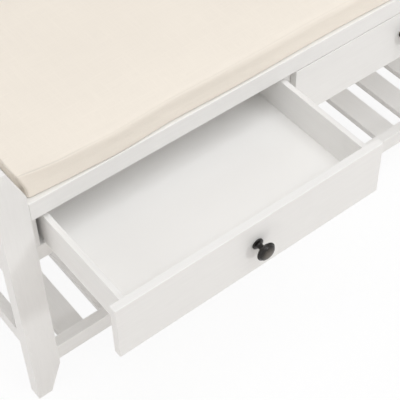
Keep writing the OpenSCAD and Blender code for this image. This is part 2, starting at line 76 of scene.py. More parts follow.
# An edge of a board is eased from this length and this turn between its faces
EASED_LENGTH, EASED_TURN, EASE_STEPS = 3 * MM, math.radians(15), 3
# Shares of the eased radius on the drawers' boards and bottoms, and how much paler the bottoms are
# painted: partly a whiter board, partly painted light that stands in for light reaching under the
# seat
DRAWER_EASE, BOTTOM_EASE, BOTTOM_LIFT_WITH_PAINTED_LIGHT = 0.7, 0.3, 1.09

# Screws and bolts: the radius of both shanks, the height of a screw's head, the cross recesses
SHANK_R, SCREW_HEAD_H = 2 * MM, 2.2 * MM
SCREW_CROSS_W, BOLT_CROSS_W = 0.9 * MM, 1.1 * MM
SCREW_TURNS, BOLT_TURNS = 24, 32

# The cushion's height at its edge, the rise of its crown, and how far its front face lies forward
CUSHION_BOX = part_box("cushion")
EDGE_HEIGHT, CROWN_RISE, FACE_PROUD = 45 * MM, 6 * MM, 0.5 * MM
# Its ends lean out over the slanted heads of the legs from this height, by this share
LEG_LIP, HEAD_LEAN = 16 * MM, 0.31
# Radii of its foot, and of its upper edge at the corners, at the left and further right
FOOT_R, CORNER_R, EDGE_R, SOFT_R = 4 * MM, 3 * MM, 7 * MM, 13 * MM
# Runs over which one radius grows into the next, from the left end, the right end and the faces
LEFT_RUN, RIGHT_RUN, FACE_RUN = (30 * MM, 160 * MM), (30 * MM, 120 * MM), (20 * MM, 80 * MM)
SOFT_RUN, RISE_RUN_SHARES = (320 * MM, 420 * MM), (0.35, 0.65)
# Its corners are drawn back, its long faces wave, and its front bulges near the left end
CORNER_PULL, CORNER_REACH, FOOT_PULL_SHARE = 10.5 * MM, 65 * MM, 0.45
WAVE_L, WAVE_H = 350 * MM, 1.2 * MM
BULGE, BULGE_PLACE, BULGE_REACH = 4.5 * MM, 145 * MM, 95 * MM
# Its mesh: gaps between points near an end and near a rim, and the steps between those
END_GAPS, RIM_GAPS = (2.5 * MM, 2.5 * MM, 3 * MM, 4 * MM, 5 * MM), (2.5 * MM, 2.5 * MM)
FLAT_STEP, RISE_STEP = 6.5 * MM, 4.5 * MM
# Its seams get shallower, and their painted shade lighter, by this share over this distance from an
# end
SEAM_FADE, SEAM_RUN = 0.7, (30 * MM, 130 * MM)
# Its filling is simulated over these frames
SWELL_FRAMES = 20

# Lamps: the setting that holds their power, their width and their place
LAMPS = (
    ("key", 0.5, (1.17, -2.98, 1.65)),
    ("fill", 2.0, (-2.6, 0.2, 1.1)),
    ("top", 2.3, (0.4, -1.0, 3.1)),
    ("back", 2.5, (0.45, 2.6, 0.9)),
)
LAMP_COLOUR, LAMP_AIM = (0.955, 0.978, 1), Vector((0.45, -0.1, 0.35))
WHITE, SKY_TINT = (1, 1, 1, 1), (1, 0.958, 0.92, 1)
FLOOR_HALF, FLOOR_COLOUR, FLOOR_GLOW = 8.0, (0.90, 0.875, 0.85, 1), 0.91

# The camera, fitted to the straight edges in the photograph
CAMERA_PLACE = (-0.355824, -0.909115, 1.521286)
CAMERA_TURN, CAMERA_FALL = math.radians(39.009), math.radians(47.371)
LENS, SENSOR, SHIFT = 100.59, 36.0, (-0.0773, -0.0778)


# Settings that a user would change


class PaintSettings(bpy.types.PropertyGroup):
    """The paint and the eased edges of the boards"""
    colour: FloatVectorProperty(
        name="Colour", description="Colour of the white paint", subtype="COLOR",
        size=3, min=0, max=1, default=(0.885, 0.877, 0.862))
    roughness: FloatProperty(
        name="Roughness", description="Roughness of the satin paint", min=0, max=1,
        default=0.42, subtype="FACTOR")
    edge_radius: FloatProperty(
        name="Edge radius", description="Radius of the eased edges of the boards",
        min=0.0002, max=0.004, default=0.0012, unit="LENGTH")
    brush_width: FloatProperty(
        name="Brush mark width", description="Width of the faint marks left in the paint",
        min=0.0002, max=0.01, default=0.0016, unit="LENGTH")


class CushionSettings(bpy.types.PropertyGroup):
    """The cloth and the filling of the cushion"""
    colour: FloatVectorProperty(
        name="Colour", description="Colour of the cushion's cloth", subtype="COLOR",
        size=3, min=0, max=1, default=(0.943, 0.871, 0.778))
    thread: FloatProperty(
        name="Thread", description="Width of one thread of the weave",
        min=0.0002, max=0.003, default=0.0009, unit="LENGTH")
    pressure: FloatProperty(
        name="Pressure", description="Pressure of the filling", min=0, max=20, default=4)
    most_move: FloatProperty(
        name="Largest move", description="Largest distance that the filling moves the cloth",
        min=0, max=0.03, default=0.004, unit="LENGTH")
    seam_hold: FloatProperty(
        name="Seam hold", description="Distance from a seam at which the cloth moves freely",
        min=0.001, max=0.2, default=0.06, unit="LENGTH")
    seam_depth: FloatProperty(
        name="Seam depth", description="Depth of the seams at the corners",
        min=0, max=0.003, default=0.0009, unit="LENGTH")


class KnobSettings(bpy.types.PropertyGroup):
    """The bronze of the knobs and how finely they are turned"""
    colour: FloatVectorProperty(
        name="Colour", description="Colour of the dark bronze", subtype="COLOR",
        size=3, min=0, max=1, default=(0.022, 0.020, 0.019))
    # This colour lightens the middle of each knob's dome: painted sheen together with rubbed wear
    worn_colour: FloatVectorProperty(
        name="Sheen and wear colour", description="Colour of the bronze where painted sheen and hand wear lighten it",
        subtype="COLOR", size=3, min=0, max=1, default=(0.135, 0.118, 0.098))
    turns: IntProperty(
        name="Sides", description="Faces round a knob", min=16, max=128, default=64)


class StageSettings(bpy.types.PropertyGroup):
    """The strength of the sky and the power of each lamp"""
    sky: FloatProperty(
        name="Sky", description="Strength of the even light from all sides", min=0, max=2,
        default=0.46)
    key: FloatProperty(
        name="Key", description="Power of the soft lamp in front", min=0, max=500,
        default=18.5, unit="POWER")
    fill: FloatProperty(
        name="Fill", description="Power of the broad lamp on the left", min=0, max=500,
        default=16, unit="POWER")
    top: FloatProperty(
        name="Top", description="Power of the broad lamp overhead", min=0, max=500,
        default=40, unit="POWER")
    back: FloatProperty(
        name="Back", description="Power of the broad low lamp behind", min=0, max=500,
        default=20, unit="POWER")


# Nodes of shaders and of geometry


def put(tree, value, socket):
    """Sets a socket, or links it where the value is a wire or another socket."""
    if isinstance(value, Wire):
        value = value.socket
    if isinstance(value, bpy.types.NodeSocket):
        tree.links.new(value, socket)
    elif value is not None:
        socket.default_value = value


def add_node(tree, kind, settings=None, *values, **named):
    """Adds a node. Its settings are set first, then its sockets in order or by name."""
    node = tree.nodes.new(kind)
    for key, value in (settings or {}).items():
        setattr(node, key, value)
    pairs = list(zip(node.inputs, values))
    pairs += [(node.inputs[key.replace("_", " ")], value) for key, value in named.items()]
    for socket, value in pairs:
        put(tree, value, socket)
    return node


class Wire:
    """A value in a shader tree. Arithmetic on it adds Math nodes to the tree."""

    def __init__(self, shader, socket):
        self.shader = shader
        self.socket = socket

    def output(self, name):
        """Another output of the node that this wire comes from."""
        return Wire(self.shader, self.socket.node.outputs[name])

    def maths(self, operation, *others):
        """The result of a Math node whose first value is this wire."""
        return self.shader.add("ShaderNodeMath", {"operation": operation}, self, *others)

    def __add__(self, other):
        return self.maths("ADD", other)

    def __sub__(self, other):
        return self.maths("SUBTRACT", other)

    def __rsub__(self, other):
        return self.shader.add("ShaderNodeMath", {"operation": "SUBTRACT"}, other, self)

    def __mul__(self, other):
        return self.maths("MULTIPLY", other)

    __radd__ = __add__
    __rmul__ = __mul__


class ShaderTree:
    """The node tree of a material or of the world."""

    def __init__(self, owner):
        owner.use_nodes = True
        self.owner = owner
        self.tree = owner.node_tree

    def add(self, kind, settings=None, *values, out=0, **named):
        """Adds a node and returns one of its outputs as a wire."""
        return Wire(self, add_node(self.tree, kind, settings, *values, **named).outputs[out])

    def blend(self, amount, low, high):
        """A colour between two others. They go into the last two of a Mix node's inputs."""
        unused = [None] * 5
        return self.add("ShaderNodeMix", {"data_type": "RGBA"}, amount, *unused, low, high, out=2)

    def place(self, scale=(1, 1, 1)):
        """Coordinates on the object, scaled."""
        return self.add("ShaderNodeMapping", {}, Scale=scale,
                        Vector=self.add("ShaderNodeTexCoord", out="Object"))

    def axes(self, which):
        """The three parts of a texture coordinate."""
        split = self.add("ShaderNodeSeparateXYZ", {}, self.add("ShaderNodeTexCoord", out=which))
        return [split.output(axis) for axis in "XYZ"]

    def noise(self, place, scale, detail=2.0, roughness=0.5):
        """Even noise with this many features to the metre."""
        return self.add("ShaderNodeTexNoise", {}, Vector=place, Scale=scale, Detail=detail,
                        Roughness=roughness)

    def mark(self, name):
        """A share that is stored on the points of the mesh."""
        return self.add("ShaderNodeAttribute", {"attribute_name": name}, out="Fac")

    def bump(self, height, distance):
        """A normal from a height that is worth this distance."""
        return self.add("ShaderNodeBump", {}, Height=height, Distance=distance, Strength=1.0)

    def shown(self):
        """1 for rays that show the background to the camera, directly or in metal or glass."""
        path = self.add("ShaderNodeLightPath")
        seen, mirrored, through = (path.output(f"Is {ray} Ray")
                                   for ray in ("Camera", "Glossy", "Transmission"))
        return seen.maths("MAXIMUM", mirrored).maths("MAXIMUM", through)


class Surface(ShaderTree):
    """A new material with one Principled surface."""

    def __init__(self, name):
        super().__init__(bpy.data.materials.new(name))
        self.shader = self.tree.nodes["Principled BSDF"]

    def set(self, **named):
        """Sets or links sockets of the surface by name and returns the material."""
        for key, value in named.items():
            put(self.tree, value, self.shader.inputs[key.replace("_", " ")])
        return self.owner


def shade(colour, factor):
    """A colour made lighter or darker, with its alpha."""
    return (*[min(1.0, part * factor) for part in colour], 1.0)


# Materials


def paint_material(settings, axis, lift):
    """Satin white paint on wood: faint brush marks along the board, waves and dull patches."""
    cloud_scale, peel_scale, wave_share, stretch = 3.0, 240.0, 0.25, 0.06
    cloud_part, mark_part, wave_part = 0.3, 0.45, 0.25
    mark_relief, peel_relief, relief = 0.6, 0.4, 0.06 * MM
    dull_patch, dull_mark = 0.1, 0.05
    spread = 0.07 if lift == 1 else 0.012
    # A lift above 1 makes a paler copy of the paint; on the drawer bottoms it is partly painted
    # light in the shaded drawer
    surface = Surface(f"white_satin_paint_{'xyz'[axis]}{'_pale' if lift > 1 else ''}")
    place = surface.place()
    along = surface.place(scale=[stretch if i == axis else 1 for i in range(3)])
    cloudy = surface.noise(place, cloud_scale, detail=3.0)
    marks = surface.noise(along, 1 / settings.brush_width, detail=3.0, roughness=0.6)
    waves = surface.noise(along, wave_share / settings.brush_width)
    peel = surface.noise(place, peel_scale)
    tone = cloudy * cloud_part + marks * mark_part + waves * wave_part
    return surface.set(
        Base_Color=surface.blend(tone, shade(settings.colour, (1 - spread) * lift),
                                 shade(settings.colour, (1 + spread) * lift)),
        Roughness=settings.roughness - dull_patch / 2 + dull_patch * cloudy + dull_mark * marks,
        Normal=surface.bump(marks * mark_relief + peel * peel_relief, relief),
        Specular_IOR_Level=0.4,
    )


def cloth_material(settings):
    """Plain cream weave: crossed threads of uneven thickness, with slubs, a dry sheen, and painted
    shade that darkens the seams.
    """
    end_facing, wander_scale, wander_size = 0.75, 60.0, 2.2
    slub_scale, slub_stretch, patch_scale = 420.0, 0.04, 9.0
    thread_part, slub_part, patch_part = 0.30, 0.45, 0.25
    thread_relief, slub_relief, relief = 0.7, 0.6, 0.22 * MM
    dark, pale, seam_painted_shade, seam_shade_share = 0.90, 1.07, 0.66, 0.5
    surface = Surface("cream_weave")
    x, y, z = surface.axes("Object")
    sideways = surface.axes("Normal")[0]
    at_end = sideways.maths("ABSOLUTE").maths("GREATER_THAN", end_facing)
    across = x + (y - x) * at_end
    along = z + y * (1 - at_end)
    repeat = math.pi / settings.thread
    wander = (surface.noise(surface.place(), wander_scale) - 0.5) * wander_size
    warp = (across * repeat + wander).maths("SINE")
    weft = (along * repeat + wander).maths("SINE")
    threads = warp * weft * 0.5 + 0.5
    warp_slub = surface.noise(surface.place(scale=(1, slub_stretch, 1)), slub_scale)
    weft_slub = surface.noise(surface.place(scale=(slub_stretch, 1, 1)), slub_scale)
    slubs = warp_slub.maths("MAXIMUM", weft_slub)
    patches = surface.noise(surface.place(), patch_scale, detail=3.0)
    tone = threads * thread_part + slubs * slub_part + patches * patch_part
    cloth = surface.blend(tone, shade(settings.colour, dark), shade(settings.colour, pale))
    return surface.set(
        # The seams are darkened in the colour: painted shade where the cloth creases
        Base_Color=surface.blend(surface.mark("seam") * seam_shade_share, cloth,
                                 shade(settings.colour, seam_painted_shade)),
        Roughness=0.86 + 0.1 * threads,
        Normal=surface.bump(threads * thread_relief + slubs * slub_relief, relief),
        Sheen_Weight=0.12,
        Sheen_Roughness=0.5,
        Specular_IOR_Level=0.2,
    )


def bronze_material(settings):
    """Dark bronze, rubbed browner in patches, with fine turning marks, and a lighter brown in the
    middle of each dome that is painted sheen together with rubbed wear.
    """
    rub_scale, turning_scale, relief = 160.0, 1400.0, 0.04 * MM
    dark, pale, least_sheen_and_wear = 0.4, 1.6, 0.4
    surface = Surface("dark_bronze")
    place = surface.place()
    rubbed = surface.noise(place, rub_scale, detail=4.0, roughness=0.65)
    fine = surface.noise(place, turning_scale)
    worn = surface.mark("worn")
    bronze = surface.blend(rubbed, shade(settings.colour, dark), shade(settings.colour, pale))
    return surface.set(
        # The middle of each dome turns lighter brown: painted sheen together with rubbed wear
        Base_Color=surface.blend(worn * (least_sheen_and_wear + rubbed), bronze,
                                 (*settings.worn_colour, 1.0)),
        Metallic=0.55,
        Roughness=0.2 + 0.12 * rubbed + 0.1 * worn,
        Normal=surface.bump(fine, relief),
    )


def steel_material():
    """Plain zinc plate on the screws and bolts."""
    spot_scale, dull, bright = 700.0, (0.52, 0.52, 0.53, 1), (0.66, 0.65, 0.62, 1)
    surface = Surface("zinc_plate")
    spots = surface.noise(surface.place(), spot_scale, detail=3.0)
    return surface.set(
        Base_Color=surface.blend(spots, dull, bright),
        Metallic=1.0,
        Roughness=0.28 + 0.2 * spots,
    )


def beech_material():
    """Bare beech with short flecks along the grain."""
    fleck_scale, stretch, relief = 900.0, 0.15, 0.05 * MM
    dark, pale = (0.47, 0.31, 0.18, 1), (0.68, 0.50, 0.32, 1)
    surface = Surface("bare_beech")
    grain = surface.noise(surface.place(scale=(stretch, stretch, 1)), fleck_scale, detail=3.0)
    return surface.set(
        Base_Color=surface.blend(grain, dark, pale),
        Roughness=0.6 + 0.2 * grain,
        Normal=surface.bump(grain, relief),
    )


MATERIALS = {}


def material_for(slot, axis=0, lift=1.0):
    """The material of a slot, made once. Paint is brushed along an axis."""
    scene = bpy.context.scene
    makers = {
        PAINT_SLOT: lambda: paint_material(scene.bench_paint, axis, lift),
        CLOTH_SLOT: lambda: cloth_material(scene.bench_cushion),
        BRONZE_SLOT: lambda: bronze_material(scene.bench_knob),
        STEEL_SLOT: steel_material,
        BEECH_SLOT: beech_material,
    }
    if (slot, axis, lift) not in MATERIALS:
        MATERIALS[slot, axis, lift] = makers[slot]()
    return MATERIALS[slot, axis, lift]


# Meshes and objects


def body_of_node(node):
    """The name of the body that holds a node."""
    return next(body for body, members in BODIES.items() if node in members)


def nodes_like(*words):
    """Names of the nodes that start with one of these words, in order."""
    return sorted(n for n in NODES if n.startswith(words))


def longest_axis(low, high):
    """The axis along which a box is longest."""
    return max(range(3), key=lambda i: (high - low)[i])


def box_of(points):
    """The lowest and highest corner of some points."""
    return Vector(map(min, zip(*points))), Vector(map(max, zip(*points)))


def unit(axis):
    """The unit vector of an axis."""
    return Vector([float(i == axis) for i in range(3)])


def smooth_step(value, low, high):
    """Goes softly from 0 at low to 1 at high."""
    share = min(1.0, max(0.0, (value - low) / (high - low)))
    return share * share * (3 - 2 * share)


def new_object(name, mesh):
    """A new object at the origin that holds a mesh."""
    piece = bpy.data.objects.new(name, mesh)
    bpy.context.scene.collection.objects.link(piece)
    return piece


def mesh_from(bm, name):
    """Turns a bmesh into a mesh and frees it."""
    mesh = bpy.data.meshes.new(name)
    bm.to_mesh(mesh)
    bm.free()
    return mesh


def result_of(piece):
    """The plain mesh that an object's modifiers make."""
    graph = bpy.context.evaluated_depsgraph_get()
    return bpy.data.meshes.new_from_object(piece.evaluated_get(graph), depsgraph=graph)


def merged_copy(node):
    """A node's mesh with its loose triangles joined and its flat faces made whole."""
    flat = math.radians(0.5)
    bm = bmesh.new()
    bm.from_mesh(NODES[node].data)
    bmesh.ops.remove_doubles(bm, verts=bm.verts, dist=WELD)
    bmesh.ops.dissolve_limit(bm, angle_limit=flat, verts=bm.verts, edges=bm.edges)
    return bm


def ease_edges(bm, radius):
    """Rounds the long outer edges of a board and leaves its drilled holes sharp."""
    edges = [
        edge for edge in bm.edges
        if edge.is_convex and edge.calc_length() > EASED_LENGTH
        and edge.calc_face_angle(0) > EASED_TURN
    ]
    bmesh.ops.bevel(bm, geom=edges, offset=radius, offset_type="OFFSET", segments=EASE_STEPS,
                    profile=0.5, affect="EDGES", clamp_overlap=True, material=-1)


def eased_board(node, radius):
    """A copy of a wooden node with eased edges."""
    bm = merged_copy(node)
    ease_edges(bm, radius)
    bmesh.ops.triangulate(bm, faces=bm.faces)
    return mesh_from(bm, node + "_painted")


def dress(piece, nodes, slot, axis=0, lift=1.0):
    """Gives a finished piece the material of its slot, puts it in its body and hides the nodes that
    it stands for.
    """
    piece.data.materials.clear()
    piece.data.materials.append(material_for(slot, axis, lift))
    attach(piece, body_of_node(nodes[0]))
    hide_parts(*nodes)


def dress_boards(nodes, radius, lift=1.0):
    """Makes the painted copy of each of these wooden nodes."""
    for node in nodes:
        dress(new_object(node + "_painted", eased_board(node, radius)), [node], PAINT_SLOT,
              longest_axis(*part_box(node)), lift)


def node_tree(name, inputs):
    """An empty Geometry Nodes tree with these inputs, its input node and its output node."""
    tree = bpy.data.node_groups.new(name, "GeometryNodeTree")
    sockets = tree.interface
    sockets.new_socket("Geometry", in_out="INPUT", socket_type="NodeSocketGeometry")
    for label, kind in inputs:
        sockets.new_socket(label, in_out="INPUT", socket_type=kind)
    sockets.new_socket("Geometry", in_out="OUTPUT", socket_type="NodeSocketGeometry")
    return tree, add_node(tree, "NodeGroupInput"), add_node(tree, "NodeGroupOutput")


def finish_tree(tree, start, end, instances):
    """Ends a tree in real geometry with the material that its input names."""
    real = add_node(tree, "GeometryNodeRealizeInstances", {}, instances)
    painted = add_node(tree, "GeometryNodeSetMaterial", Geometry=real.outputs[0],
                       Material=start.outputs["Material"])
    put(tree, painted.outputs[0], end.inputs[0])


def baked(name, base_mesh, tree, values):
    """Runs a tree on a mesh and returns the plain mesh that it makes."""
    host = new_object(name + "_host", base_mesh)
    modifier = host.modifiers.new(tree.name, "NODES")
    modifier.node_group = tree
    ids = {item.name: item.identifier for item in tree.interface.items_tree
           if item.in_out == "INPUT"}
    for label, value in values.items():
        modifier[ids[label]] = value
    mesh = result_of(host)
    mesh.name = name
    bpy.data.objects.remove(host)
    return mesh


def slat_tree():
    """Repeats one slat along X at an even pitch."""
    tree, start, end = node_tree("slat_row", (
        ("Slat", "NodeSocketObject"), ("Count", "NodeSocketInt"),
        ("Pitch", "NodeSocketFloat"), ("Material", "NodeSocketMaterial")))
    slat = add_node(tree, "GeometryNodeObjectInfo", Object=start.outputs["Slat"])
    step = add_node(tree, "ShaderNodeCombineXYZ", X=start.outputs["Pitch"])
    row = add_node(tree, "GeometryNodeMeshLine", {"mode": "OFFSET"},
                   Count=start.outputs["Count"], Offset=step.outputs[0])
    placed = add_node(tree, "GeometryNodeInstanceOnPoints", Points=row.outputs[0],
                      Instance=slat.outputs["Geometry"])
    finish_tree(tree, start, end, placed.outputs[0])
    return tree


def fastener_tree():
    """Puts one fastener on every point, with its head turned along the point's direction."""
    tree, start, end = node_tree("fasteners", (
        ("Fastener", "NodeSocketObject"), ("Material", "NodeSocketMaterial")))
    one = add_node(tree, "GeometryNodeObjectInfo", Object=start.outputs["Fastener"])
    way = add_node(tree, "GeometryNodeInputNamedAttribute", {"data_type": "FLOAT_VECTOR"},
                   Name="direction")
    turned = add_node(tree, "FunctionNodeAlignRotationToVector", {"axis": "Z"},
                      Vector=way.outputs[0])
    placed = add_node(tree, "GeometryNodeInstanceOnPoints", Points=start.outputs["Geometry"],
                      Instance=one.outputs["Geometry"], Rotation=turned.outputs[0])
    finish_tree(tree, start, end, placed.outputs[0])
    return tree


def arc(centre, radii, start, end, steps):
    """Points of an ellipse's arc between two angles in degrees."""
    angles = [math.radians(start + (end - start) * i / steps) for i in range(steps + 1)]
    return [(centre[0] + radii[0] * math.cos(a), centre[1] + radii[1] * math.sin(a))
            for a in angles]


def spun(outline, turns, name):
    """A closed form turned about Z from points of radius and height, axis to axis."""
    bm = bmesh.new()
    verts = [bm.verts.new((radius, 0, height)) for radius, height in outline]
    edges = [bm.edges.new(pair) for pair in zip(verts, verts[1:])]
    bmesh.ops.spin(bm, geom=verts + edges, cent=(0, 0, 0), axis=(0, 0, 1),
                   angle=math.tau, steps=turns, use_merge=True)
    bmesh.ops.remove_doubles(bm, verts=bm.verts, dist=SPIN_WELD)
    bmesh.ops.recalc_face_normals(bm, faces=bm.faces)
    return mesh_from(bm, name)


def cut_cross(mesh, name, width, length, depth, top):
    """A copy of a turned head with a cross recess cut in from its top."""
    foot_share = 0.55
    head = new_object(name + "_head", mesh)
    bm = bmesh.new()
    for size in ((length, width), (width, length)):
        made = bmesh.ops.create_cube(bm, size=1)["verts"]
        bmesh.ops.scale(bm, vec=(*size, 2 * depth), verts=made)
        bmesh.ops.translate(bm, vec=(0, 0, top), verts=made)
        foot = [vert for vert in made if vert.co.z < top]
        bmesh.ops.scale(bm, vec=(foot_share, foot_share, 1), verts=foot)
    cutter = new_object(name + "_cutter", mesh_from(bm, name + "_cutter"))
    modifier = head.modifiers.new("cross", "BOOLEAN")
    modifier.operation, modifier.solver, modifier.object = "DIFFERENCE", "EXACT", cutter
    modifier.use_self = True
    result = result_of(head)
    for scrap in (head, cutter):
        bpy.data.objects.remove(scrap)
    return result


def islands(node):
    """The loose parts of a node, each as a list of points."""
    bm = merged_copy(node)
    left = set(bm.verts)
    parts = []
    while left:
        reached, part = [left.pop()], []
        while reached:
            vert = reached.pop()
            part.append(vert.co.copy())
            for edge in vert.link_edges:
                other = edge.other_vert(vert)
                if other in left:
                    left.discard(other)
                    reached.append(other)
        parts.append(part)
    bm.free()
    return sorted(parts, key=lambda part: [round(c, 5) for c in sum(part, Vector()) / len(part)])


def head_place(part):
    """The middle of a screw's head and the direction that the head faces."""
    low, high = box_of(part)
    axis = longest_axis(low, high)
    middle = (low + high) / 2

    def reach(end):
        return max((p - middle - (p - middle)[axis] * unit(axis)).length
                   for p in part if abs(p[axis] - end) < SAME_END)

    end = low[axis] if reach(low[axis]) > reach(high[axis]) else high[axis]
    place = middle.copy()
    place[axis] = end
    return place, unit(axis) * (1 if end == high[axis] else -1)


def points_mesh(places, name):
    """A mesh of bare points with a direction each."""
    mesh = bpy.data.meshes.new(name)
    mesh.from_pydata([place for place, _ in places], [], [])
    layer = mesh.attributes.new("direction", "FLOAT_VECTOR", "POINT")
    for item, (_, direction) in zip(layer.data, places):
        item.vector = direction
    return mesh


# Operators, one for each piece or group of like pieces


class BENCH_OT_legs(bpy.types.Operator):
    """Finishes the four legs"""
    bl_idname = "bench.legs"
    bl_label = "Legs"

    def execute(self, context):
        dress_boards(nodes_like("leg_"), context.scene.bench_paint.edge_radius)
        return {"FINISHED"}


class BENCH_OT_boards(bpy.types.Operator):
    """Finishes the boards of the seat, the sides, the drawer case and the shelf"""
    bl_idname = "bench.boards"
    bl_label = "Boards"

    def execute(self, context):
        groups = nodes_like("seat_", "side_panel", "guide_panel", "divider", "case_", "runner_",
                            "kicker_", "stop_block", "shelf_rail")
        dress_boards(groups, context.scene.bench_paint.edge_radius)
        return {"FINISHED"}


class BENCH_OT_slats(bpy.types.Operator):
    """Lays the row of slats on the shelf"""
    bl_idname = "bench.slats"
    bl_label = "Slats"

    def execute(self, context):
        axis = longest_axis(*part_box(SLATS[0]))
        board = eased_board(SLATS[0], context.scene.bench_paint.edge_radius)
        pattern = new_object("slat_pattern", board)
        mesh = baked("slats", bpy.data.meshes.new("slat_base"), slat_tree(), {
            "Slat": pattern, "Count": len(SLATS), "Pitch": SLAT_PITCH,
            "Material": material_for(PAINT_SLOT, axis)})
        bpy.data.objects.remove(pattern)
        dress(new_object("slats", mesh), SLATS, PAINT_SLOT, axis)
        return {"FINISHED"}


class BENCH_OT_drawers(bpy.types.Operator):
    """Finishes the boards of both drawers"""
    bl_idname = "bench.drawers"
    bl_label = "Drawers"

    def execute(self, context):
        radius = context.scene.bench_paint.edge_radius
        for side in SIDES:
            boards = [f"{side}_drawer_{board}" for board in ("side_left", "side_right", "back")]
            dress_boards([f"{side}_drawer_front"], radius)
            dress_boards(boards, radius * DRAWER_EASE)
            # The bottoms get the paler copy of the paint: partly a whiter board, partly painted
            # light that lifts the shade under the seat
            dress_boards([f"{side}_drawer_bottom"], radius * BOTTOM_EASE, BOTTOM_LIFT_WITH_PAINTED_LIGHT)
        return {"FINISHED"}


def knob_outline(length, head_r):
    """Half of a knob's section: base flange, neck, stepped head and domed top."""
    flange_r, neck_r = 9 * MM, 4.25 * MM
    flange_t, ring, rim_t = 2.4 * MM, 0.9 * MM, 3.2 * MM
    sweep_h, flare_h, head_z = 4 * MM, 4 * MM, 14.5 * MM
    steps, dome_steps, rim_angle = 10, 14, 60
    sweep_r = flange_r - ring
    rim_r = rim_t / 2
    rim_middle = head_r - rim_r
    ring_r = rim_middle - 2 * ring
    rim_z = head_z + 2 * ring
    return (
        [(0, 0), (flange_r - ring / 4, 0), (flange_r, ring / 4), (flange_r, flange_t - ring)]
        + arc((sweep_r, flange_t + sweep_h), (sweep_r - neck_r, sweep_h), 270, 180, steps)
        + arc((ring_r, head_z - flare_h), (ring_r - neck_r, flare_h), 180, 90, steps)
        + [(ring_r + ring / 5, head_z + ring), (ring_r + ring, head_z + ring),
           (ring_r + ring, rim_z)]
        + arc((rim_middle, rim_z + rim_r), (rim_r, rim_r), -90, rim_angle, steps)
        + arc((0, rim_z + rim_t), (rim_middle, length - rim_z - rim_t), 0, 90, dome_steps)
    )


class BENCH_OT_knobs(bpy.types.Operator):
    """Turns the two knobs"""
    bl_idname = "bench.knobs"
    bl_label = "Knobs"

    def execute(self, context):
        upright_to_front = Matrix.Rotation(math.pi / 2, 4, "X")
        crease = math.radians(50)
        for side in SIDES:
            node = f"{side}_drawer_knob"
            low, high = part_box(node)
            middle, head_r = (low + high) / 2, (high.x - low.x) / 2
            outline = knob_outline(high.y - low.y, head_r)
            mesh = spun(outline, context.scene.bench_knob.turns, node)
            mesh.transform(Matrix.Translation((middle.x, high.y, middle.z)) @ upright_to_front)
            mesh.shade_smooth()
            mesh.set_sharp_from_angle(angle=crease)
            self.wear(mesh, middle, head_r)
            dress(new_object(node + "_turned", mesh), [node], BRONZE_SLOT)
        return {"FINISHED"}

    def wear(self, mesh, middle, head_r):
        """Marks the middle of the head's dome, less towards its rim, for a lighter brown that is
        painted sheen together with rubbed wear.
        """
        sheen_and_wear_run = (0.15, 0.85)
        marks = mesh.attributes.new("worn", "FLOAT", "POINT")
        for mark, vert in zip(marks.data, mesh.vertices):
            out = math.hypot(vert.co.x - middle.x, vert.co.z - middle.z) / head_r
            if vert.co.y < middle.y:
                mark.value = 1 - smooth_step(out, *sheen_and_wear_run)


def screw_mesh(length, head_r, shank_r, head_h):
    """A countersunk screw whose head faces up from the origin."""
    lip = 0.25 * MM
    tip_r, tip_end, tip_start = shank_r * 0.4, length * 0.95, length * 0.88
    cross_l, cross_depth = head_r * 1.15, head_h * 0.75
    outline = [(0, -length), (tip_r, -tip_end), (shank_r, -tip_start), (shank_r, -head_h),
               (head_r, -lip), (head_r - lip / 2, 0), (0, 0)]
    return cut_cross(spun(outline, SCREW_TURNS, "screw"), "screw", SCREW_CROSS_W, cross_l,
                     cross_depth, 0)


def bolt_mesh(length, head_r, shank_r, head_h):
    """A pan head bolt whose head faces up, with the seat of its head at the origin."""
    tip_r, tip_start, brim_h = shank_r * 0.8, length * 0.97, head_h * 0.4
    cross_l, cross_depth = head_r * 1.1, head_h * 0.7
    dome_r, dome_angle, dome_steps = head_h - brim_h, 15, 5
    outline = ([(0, -length), (tip_r, -length), (shank_r, -tip_start), (shank_r, 0),
                (head_r, 0), (head_r, brim_h)]
               + arc((head_r - dome_r, brim_h), (dome_r, dome_r), dome_angle, 90, dome_steps)
               + [(0, head_h)])
    return cut_cross(spun(outline, BOLT_TURNS, "bolt"), "bolt", BOLT_CROSS_W, cross_l,
                     cross_depth, head_h)


def fastened(tree, fastener, places, name):
    """The mesh of one fastener at each of these places."""
    pattern = new_object(name + "_pattern", fastener)
    mesh = baked(name, points_mesh(places, name + "_points"), tree,
                 {"Fastener": pattern, "Material": material_for(STEEL_SLOT)})
    bpy.data.objects.remove(pattern)
    return mesh


